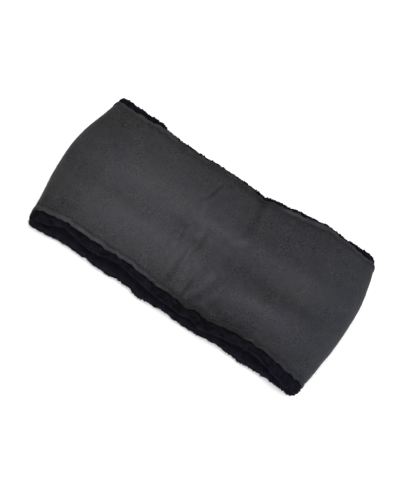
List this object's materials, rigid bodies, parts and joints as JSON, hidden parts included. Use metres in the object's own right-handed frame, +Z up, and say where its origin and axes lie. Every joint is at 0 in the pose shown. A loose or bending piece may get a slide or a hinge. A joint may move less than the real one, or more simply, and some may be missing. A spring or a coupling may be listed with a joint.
{
  "type": "ear warmer headband",
  "caption": "Wide fleece ear warmer headband with a plush lining, a closed cloth loop lying folded flat with its hollow open from hem to hem.",
  "frame": {"origin": "middle of the underside of the folded headband, on the surface that it lies on", "axes": "+X along the folded band from one fold to the other, +Y across it towards the far hem, +Z up"},
  "size_m": [0.2468, 0.1282, 0.0228],
  "materials": {
    "fleece": "brushed charcoal fleece, matt, with a faint pile sheen",
    "plush": "short black plush pile, soft sheen"
  },
  "bodies": {
    "root": {"outer_shell": "fleece", "plush_lining": "plush"}
  },
  "joints": []
}
